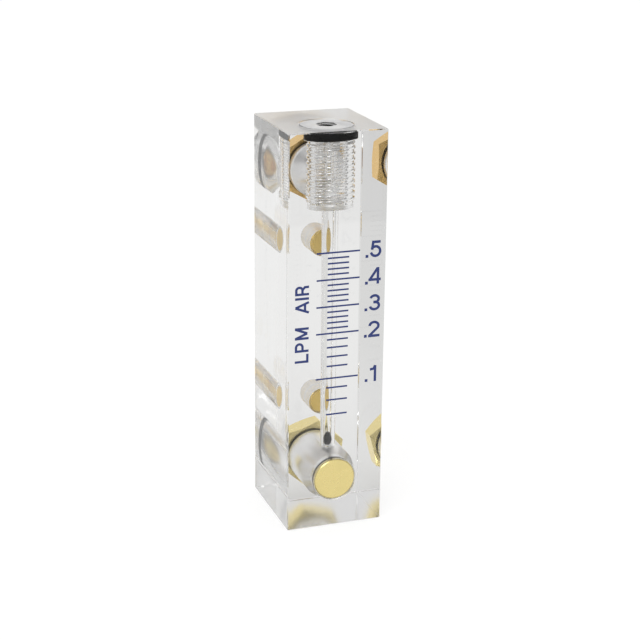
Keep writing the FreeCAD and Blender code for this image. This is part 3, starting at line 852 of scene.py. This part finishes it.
class METER_OT_inserts(Operator):
    """The two blind brass inserts: diamond knurl, middle groove and tapped hole."""

    bl_idname = "meter.inserts"
    bl_label = "Mounting Inserts"

    def execute(self, context):
        sizes = context.scene.meter_sizes
        knurl = (sizes.knurl_depth, sizes.knurl_pitch, FINE_STEPS)
        half_groove = sizes.insert_groove / 2
        for side in ("lower", "upper"):
            node = side + "_mounting_insert"
            low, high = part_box(node)
            radius = extent(node).x / 2
            root = radius - sizes.knurl_depth
            floor = radius - sizes.groove_depth
            centre = (low.y + high.y) / 2
            nose = low.y + sizes.insert_nose
            tail = high.y - sizes.insert_tail
            tap_end = high.y - sizes.insert_depth
            tap = thread_rows(
                high.y - sizes.insert_lead, tap_end, sizes.insert_tap + sizes.insert_ridge,
                sizes.insert_ridge, sizes.insert_pitch, FINE_STEPS)
            rows = [
                (low.y, 0.0),
                (low.y, radius - sizes.insert_nose),
                (nose, root),
            ] + knurl_rows(nose, centre - half_groove, radius, *knurl) + [
                (centre - half_groove, floor),
                (centre + half_groove, floor),
            ] + knurl_rows(centre + half_groove, tail, radius, *knurl) + [
                (tail, root),
                (high.y, root),
                (high.y, sizes.insert_tap + sizes.insert_lead),
            ] + tap + [
                (tap_end, sizes.insert_tap),
                (tap_end - DRILL_POINT * sizes.insert_tap, 0.0),
            ]
            piece = lathe(side + "_knurled_insert", rows, [finishes()["insert_brass"]], "Y",
                          (0, 0, middle(node).z), segments=FINE_STEPS, sharp=50.0)
            finished(piece, "meter", "brass", node)
        return {"FINISHED"}


class METER_OT_float(Operator):
    """The ball: radius and height are the sine and cosine of the angle from its lowest point."""

    bl_idname = "meter.float"
    bl_label = "Float"

    def execute(self, context):
        bands = 48
        angle = np.linspace(0.0, math.pi, bands + 1)[1:-1]
        round_rows = list(zip(-BALL_RADIUS * np.cos(angle), BALL_RADIUS * np.sin(angle)))
        rows = [(-BALL_RADIUS, 0.0)] + round_rows + [(BALL_RADIUS, 0.0)]
        ball = lathe("ball", rows, [finishes()["ball"]], "Z", middle("float_ball"),
                     segments=2 * bands)
        finished(ball, "float", "black_glass", "float_ball")
        return {"FINISHED"}


# ---------------------------------------------------------------- printed scale
# The layout on the front face, in millimetres: across from its middle, up from its foot.
LONG_LINES = {"5": 82.27, "4": 74.53, "3": 66.72, "2": 58.88, "1": 45.52}
LONG_SPAN = (-6.12, 6.53)
SHORT_SPAN = (-2.9, 3.36)
LINE_WEIGHT = 0.48
# Steps down from .2 to the four short lines under it, and from .1 to the three under it.
STEPS_UNDER_2 = (1.84, 2.34, 2.70, 2.85)
STEPS_UNDER_1 = (2.82, 3.7, 4.4)
# Each digit's left and right side, and the middle of the point before it.
DIGITS = {
    "5": (9.38, 12.88, 8.6),
    "4": (9.18, 12.88, 8.6),
    "3": (9.43, 12.88, 8.6),
    "2": (9.43, 12.88, 8.6),
    "1": (10.2, 12.15, 9.1),
}
DIGIT_HEIGHT = 4.8
DIGIT_DROP = 2.35
DIGIT_WEIGHT = 0.76
POINT_SIZE = 0.84
# The unit's letters stand on end: their top and foot across, and each one's start and end up.
UNIT_SPAN = (-12.35, -8.3)
UNIT_WEIGHT = 0.7
UNIT_LETTERS = {
    "A": (65.35, 69.0),
    "I": (69.43, 70.08),
    "R": (70.7, 73.45),
    "L": (50.95, 53.6),
    "P": (54.15, 56.95),
    "M": (57.83, 61.4),
}


def short_line_heights():
    """Heights of the short lines in millimetres: four between each pair of long ones, evenly
    spaced down to .2 and further apart below it, and three under .1."""
    marks = list(LONG_LINES.values())
    heights = []
    for high, low in zip(marks[:-2], marks[1:-1]):
        heights += list(np.linspace(high, low, 6)[1:-1])
    heights += list(marks[-2] - np.cumsum(STEPS_UNDER_2))
    heights += list(marks[-1] - np.cumsum(STEPS_UNDER_1))
    return heights


def bars(name, spans, thickness, height, material):
    """Upright boxes for lines: each span is (low x, high x, middle z), all in millimetres."""
    left, right, centre = np.array(spans).T
    count = len(left)
    low = np.stack([left, np.zeros(count), centre - height / 2], axis=-1)
    size = np.stack([right - left, np.full(count, thickness), np.full(count, height)], axis=-1)
    points = (low[:, None, :] + BOX_CORNERS[None] * size[:, None, :]).reshape(-1, 3) * MM
    points[:, 1] += BLOCK_LOW.y
    faces = (BOX_FACES[None] + 8 * np.arange(count)[:, None, None]).reshape(-1, 4)
    return make_mesh(name, points, faces, [material])


def arc(centre, reach, start, end, steps=20):
    """Points on an ellipse, from its centre and half axes, between two angles in degrees."""
    angle = np.radians(np.linspace(start, end, steps))
    return np.stack([centre[0] + reach[0] * np.cos(angle), centre[1] + reach[1] * np.sin(angle)],
                    axis=-1)


def joined(*parts):
    """One line through the points and lines given."""
    return np.vstack([np.reshape(part, (-1, 2)) for part in parts])


def letter_strokes(weight):
    """Middle lines of the strokes of each sign, for a sign one unit high and its own width.

    They're plain grotesque forms: straight strokes with square ends, and parts of ellipses for
    the bowls. Half the weight is kept from the outline on every side.
    """
    half = weight / 2
    top = 1.0 - half

    def bowl(left, right, low, high, start, end):
        reach = ((right - left) / 2, (high - low) / 2)
        return arc(((left + right) / 2, (low + high) / 2), reach, start, end)

    stem = joined((half, 0.0), (half, 1.0))
    return {
        "1": (0.40, [joined((0.0, 0.76), (0.40 - weight, 0.80), (0.40 - half, 1.0)),
                     joined((0.40 - half, 0.0), (0.40 - half, 1.0))]),
        "2": (0.70, [joined(bowl(half, 0.70 - half, 0.46, top, 178, -32),
                            (half + 0.02, 0.12), (half, 0.0)),
                     joined((0.0, half), (0.70, half))]),
        "3": (0.70, [joined(bowl(half + 0.02, 0.68 - half, 0.50, top, 165, -80), (0.28, 0.52)),
                     joined((0.28, 0.52), bowl(half, 0.70 - half, half, 0.53, 80, -170))]),
        "4": (0.76, [joined((0.58, 0.0), (0.58, 1.0)), joined((0.0, 0.27), (0.76, 0.27)),
                     joined((half, 0.27), (0.56, 0.96))]),
        "5": (0.72, [joined((0.66, top), (0.14 + half, top)),
                     joined((0.14 + half, 1.0), (0.07 + half, 0.46)),
                     joined(bowl(half, 0.72 - half, half, 0.65, 150, -168))]),
        "A": (0.86, [joined((half * 0.9, 0.0), (0.43, 0.97)),
                     joined((0.86 - half * 0.9, 0.0), (0.43, 0.97)),
                     joined((0.2, 0.28), (0.66, 0.28))]),
        "I": (weight, [stem]),
        "R": (0.72, [stem, joined((half, top), (0.44, top)), joined((half, 0.47), (0.44, 0.47)),
                     bowl(0.18, 0.70 - half, 0.47, top, 90, -90),
                     joined((0.42, 0.46), (0.62, 0.3), (0.72 - half, 0.0))]),
        "L": (0.60, [stem, joined((0.0, half), (0.60, half))]),
        "P": (0.68, [stem, joined((half, top), (0.4, top)), joined((half, 0.44), (0.4, 0.44)),
                     bowl(0.12, 0.68 - half, 0.44, top, 90, -90)]),
        "M": (0.88, [stem, joined((0.88 - half, 0.0), (0.88 - half, 1.0)),
                     joined((half * 1.2, 0.95), (0.44, 0.1)),
                     joined((0.88 - half * 1.2, 0.95), (0.44, 0.1))]),
    }


def ribbon(line, weight, thickness):
    """A middle line widened to the weight: a strip with mitred bends and square ends, as a
    closed solid. Each bend's offset runs along the mean of its neighbours' normals, over the
    cosine of half the bend."""
    step = np.diff(line, axis=0)
    step = step / np.linalg.norm(step, axis=1)[:, None]
    normal = np.stack([-step[:, 1], step[:, 0]], axis=-1)
    before = np.vstack([normal[:1], normal])
    after = np.vstack([normal, normal[-1:]])
    mean = before + after
    mean = mean / np.linalg.norm(mean, axis=1)[:, None]
    offset = mean * (weight / 2 / np.clip(np.sum(mean * after, axis=1), 0.5, 1.0))[:, None]
    rails = [np.hstack([line + side * offset, np.full((len(line), 1), depth)])
             for side, depth in ((1, 0.0), (-1, 0.0), (-1, thickness), (1, thickness))]
    count = len(line)
    points = np.vstack(rails)
    row = np.arange(count - 1)
    faces = []
    for k in range(4):
        here, there = k * count, (k + 1) % 4 * count
        faces.append(np.stack([here + row, here + row + 1, there + row + 1, there + row], axis=-1))
    ends = np.array([[0, count, 2 * count, 3 * count],
                     [4 * count - 1, 3 * count - 1, 2 * count - 1, count - 1]])
    return points, np.vstack(faces + [ends])


def lettering(name, sign, low, high, weight, thickness, step, upright, material):
    """One sign as a thin solid that fills a rectangle of the front face, in millimetres.

    Upright signs have their feet down. The others have their feet towards +X and read upwards.
    Each stroke lies one step further back than the one before, so no two faces coincide.
    """
    tall = high[1] - low[1] if upright else high[0] - low[0]
    wide = high[0] - low[0] if upright else high[1] - low[1]
    width, strokes = letter_strokes(weight / tall)[sign]
    points, faces, count = [], [], 0
    for order, line in enumerate(strokes):
        strip, quads = ribbon(line * np.array([wide / width, tall]), weight, thickness)
        points.append(strip - np.array([0.0, 0.0, order * step]))
        faces.append(quads + count)
        count += len(strip)
    across, up, out = np.vstack(points).T
    if upright:
        x, z = low[0] + across, low[1] + up
    else:
        x, z = high[0] - up, low[1] + across
    placed = np.stack([x * MM, BLOCK_LOW.y + (thickness - out) * MM, z * MM], axis=-1)
    return make_mesh(name, placed, np.vstack(faces), [material])


class METER_OT_scale(Operator):
    """The printed scale: long and short lines, their numbers, and the unit."""

    bl_idname = "meter.scale"
    bl_label = "Printed Scale"

    def execute(self, context):
        ink = finishes()["ink"]
        sizes = context.scene.meter_sizes
        thickness, step = sizes.ink / MM, sizes.ink_step / MM
        spans = [(*LONG_SPAN, height) for height in LONG_LINES.values()]
        spans += [(*SHORT_SPAN, height) for height in short_line_heights()]
        pieces = [bars("scale_lines", spans, thickness, LINE_WEIGHT, ink)]
        half_point = POINT_SIZE / 2
        for sign, (left, right, point) in DIGITS.items():
            foot = LONG_LINES[sign] - DIGIT_DROP
            low, high = (left, foot), (right, foot + DIGIT_HEIGHT)
            pieces.append(lettering("digit_" + sign, sign, low, high, DIGIT_WEIGHT, thickness, step,
                                    True, ink))
            square = (point - half_point, point + half_point, foot + half_point)
            pieces.append(bars("point_" + sign, [square], thickness, POINT_SIZE, ink))
        for sign, (start, end) in UNIT_LETTERS.items():
            low, high = (UNIT_SPAN[0], start), (UNIT_SPAN[1], end)
            pieces.append(lettering("letter_" + sign, sign, low, high, UNIT_WEIGHT, thickness, step,
                                    False, ink))
        for piece in pieces:
            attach(piece, "meter")
        return {"FINISHED"}


# ---------------------------------------------------------------- stage
# Smooth steps in the light and shade painted into the paper floor's glow, as rays other than the
# camera's see it. Each gives the places in metres between which it goes from one level to another:
# across, along X; in front of a line at the front and behind the front corner of the painted shade,
# along Y; and past that corner's slanted edge, along X plus slant times Y.
PAINTED_GLOW_STEPS = {
    "across": (-0.06, 0.06, 0.40, 0.55),
    "front_shade_line": (-0.345, -0.335, 0.0, 1.0),
    "behind": (-0.2, -0.1, 0.0, 1.0),
    "corner": (0.1080, 0.1100, 1.0, 0.0),
}
SHADE_SLANT = 0.123
# The studio's walls as the clear block shows them, between two values of the direction's Y.
WALL_STEP = (-0.8, 0.2, 0.58, 0.69)
STEP_SOCKETS = ("From Min", "From Max", "To Min", "To Max")


def paper_floor(tint, glow=0.78, shade=0.25):
    """White seamless paper, lit from behind: it glows a little, which keeps it white, and it
    takes the meter's shadow with the rest of its light.

    What the clear block shows of it has light and shade painted into its glow: painted light that
    is dimmer towards -X, and painted shade at the front right, past a slanted line. The brass
    mirrors its glow only as far as a line in front, with painted shade past it. It glows by the
    across step times the larger of corner and behind for the first, and by the plain glow times
    the front shade line's step for the second.
    """
    material, tree, shader = new_material("matt_paper_floor")
    shader.inputs["Base Color"].default_value = (*[shade * v for v in tint], 1.0)
    shader.inputs["Roughness"].default_value = 0.9
    shader.inputs["Specular IOR Level"].default_value = 0.0
    path = add_node(tree, "ShaderNodeLightPath")
    place = add_node(tree, "ShaderNodeTexCoord")
    parts = add_node(tree, "ShaderNodeSeparateXYZ", {"Vector": place.outputs["Object"]})
    slant = add_node(tree, "ShaderNodeMath", {
        0: parts.outputs["Y"], 1: SHADE_SLANT, 2: parts.outputs["X"]}, operation="MULTIPLY_ADD")
    along = {
        "across": parts.outputs["X"],
        "front_shade_line": parts.outputs["Y"],
        "behind": parts.outputs["Y"],
        "corner": slant.outputs["Value"],
    }
    level = {}
    for name, values in PAINTED_GLOW_STEPS.items():
        step = add_node(tree, "ShaderNodeMapRange", {
            "Value": along[name], **dict(zip(STEP_SOCKETS, values))},
            interpolation_type="SMOOTHSTEP")
        level[name] = step.outputs["Result"]
    # Painted light and shade: the glow seen through the block, and the glow the brass mirrors,
    # which is cut to dark past the front line.
    lit = add_node(tree, "ShaderNodeMath", {
        0: level["corner"], 1: level["behind"]}, operation="MAXIMUM")
    through = add_node(tree, "ShaderNodeMath", {
        0: level["across"], 1: lit.outputs["Value"]}, operation="MULTIPLY")
    mirrored = add_node(tree, "ShaderNodeMath", {
        0: glow, 1: level["front_shade_line"]}, operation="MULTIPLY")
    inner = add_node(tree, "ShaderNodeMix", {
        "Factor": path.outputs["Is Transmission Ray"], "A": mirrored.outputs["Value"],
        "B": through.outputs["Value"]}, data_type="FLOAT")
    strength = add_node(tree, "ShaderNodeMix", {
        "Factor": path.outputs["Is Camera Ray"], "A": inner.outputs["Result"], "B": glow},
        data_type="FLOAT")
    tree.links.new(strength.outputs["Result"], shader.inputs["Emission Strength"])
    shader.inputs["Emission Color"].default_value = (1.0, 1.0, 1.0, 1.0)
    return material


def world_light(scene):
    """White where the camera looks past the meter, and for what lights it. Through the clear
    block the studio's walls look greyer, most towards the open front."""
    world = bpy.data.worlds.new("studio")
    scene.world = world
    world.use_nodes = True
    tree = world.node_tree
    tree.nodes.clear()
    path = add_node(tree, "ShaderNodeLightPath")
    place = add_node(tree, "ShaderNodeTexCoord")
    parts = add_node(tree, "ShaderNodeSeparateXYZ", {"Vector": place.outputs["Generated"]})
    walls = add_node(tree, "ShaderNodeMapRange", {
        "Value": parts.outputs["Y"], **dict(zip(STEP_SOCKETS, WALL_STEP))},
        interpolation_type="SMOOTHSTEP")
    seen = add_node(tree, "ShaderNodeMix", {
        "Factor": path.outputs["Is Transmission Ray"], "A": 1.0,
        "B": walls.outputs["Result"]}, data_type="FLOAT")
    light = add_node(tree, "ShaderNodeBackground", {"Strength": seen.outputs["Result"]})
    light.inputs["Color"].default_value = (1.0, 1.0, 1.0, 1.0)
    add_node(tree, "ShaderNodeOutputWorld", {"Surface": light.outputs["Background"]})


def soft_lamp(name, where, target, size, power):
    """A square lamp of the size given, in metres, turned to its target. Its power is in watts."""
    data = bpy.data.lights.new(name, "AREA")
    data.shape = "SQUARE"
    data.size = size
    data.energy = power
    lamp = bpy.data.objects.new(name, data)
    bpy.context.scene.collection.objects.link(lamp)
    lamp.location = where
    lamp.rotation_euler = (Vector(target) - Vector(where)).to_track_quat("-Z", "Y").to_euler()
    return lamp


class METER_OT_stage(Operator):
    """Pale floor, soft light and the camera."""

    bl_idname = "meter.stage"
    bl_label = "Stage"

    def execute(self, context):
        scene = context.scene
        tints = scene.meter_colours
        reach, under, gap = 4.0, -1.0 * MM, 0.02 * MM
        rows = [(under, 0.0), (under, reach), (0.0, reach), (0.0, 0.0)]
        floor = lathe("floor", rows, [paper_floor(tints.floor)], "Z", (0, 0, -gap), segments=96)

        world_light(scene)
        soft_lamp("key_softbox", where=(-0.5, -0.5, 0.9), target=(0, 0, 0.05), size=0.6, power=4.0)

        view = scene.meter_view
        azimuth, elevation = math.radians(view.azimuth), math.radians(view.elevation)
        ahead = Vector((-math.sin(azimuth) * math.cos(elevation),
                        math.cos(azimuth) * math.cos(elevation), -math.sin(elevation)))
        data = bpy.data.cameras.new("camera")
        data.lens = view.lens
        data.clip_start = 0.01
        camera = bpy.data.objects.new("camera", data)
        scene.collection.objects.link(camera)
        camera.location = Vector(view.target) - ahead * view.distance
        aim = ahead.to_track_quat("-Z", "Y")
        roll = Matrix.Rotation(math.radians(view.roll), 4, "Z").to_quaternion()
        camera.rotation_mode = "QUATERNION"
        camera.rotation_quaternion = aim @ roll
        scene.camera = camera
        scene.view_settings.view_transform = "Standard"
        scene.cycles.max_bounces = 40
        scene.cycles.glossy_bounces = 32
        scene.cycles.transmission_bounces = 32
        return {"FINISHED"}


OPERATORS = (
    METER_OT_block, METER_OT_top_plug, METER_OT_seals, METER_OT_port_adapters, METER_OT_front_plug,
    METER_OT_inserts, METER_OT_float, METER_OT_scale, METER_OT_stage)


class METER_PT_panel(Panel):
    """Lists the pieces and their sizes in the sidebar."""

    bl_label = "Block Flow Meter"
    bl_idname = "METER_PT_panel"
    bl_space_type = "VIEW_3D"
    bl_region_type = "UI"
    bl_category = "Flow Meter"

    def draw(self, context):
        for operator in OPERATORS:
            self.layout.operator(operator.bl_idname)
        for group in (context.scene.meter_sizes, context.scene.meter_colours,
                      context.scene.meter_view):
            box = self.layout.box()
            for key in group.bl_rna.properties.keys():
                if key not in ("rna_type", "name"):
                    box.prop(group, key)


CLASSES = (MeterSizes, MeterColours, MeterView) + OPERATORS + (METER_PT_panel,)


def register():
    """Make the classes and the scene's settings known."""
    for cls in CLASSES:
        bpy.utils.register_class(cls)
    bpy.types.Scene.meter_sizes = PointerProperty(type=MeterSizes)
    bpy.types.Scene.meter_colours = PointerProperty(type=MeterColours)
    bpy.types.Scene.meter_view = PointerProperty(type=MeterView)


def unregister():
    """Take away what register made known."""
    del bpy.types.Scene.meter_view
    del bpy.types.Scene.meter_colours
    del bpy.types.Scene.meter_sizes
    for cls in reversed(CLASSES):
        bpy.utils.unregister_class(cls)


def main():
    """Build the meter and its stage."""
    register()
    bpy.ops.meter.block()
    bpy.ops.meter.top_plug()
    bpy.ops.meter.seals()
    bpy.ops.meter.port_adapters()
    bpy.ops.meter.front_plug()
    bpy.ops.meter.inserts()
    bpy.ops.meter.float()
    bpy.ops.meter.scale()
    bpy.ops.meter.stage()


if __name__ == "__main__":
    main()
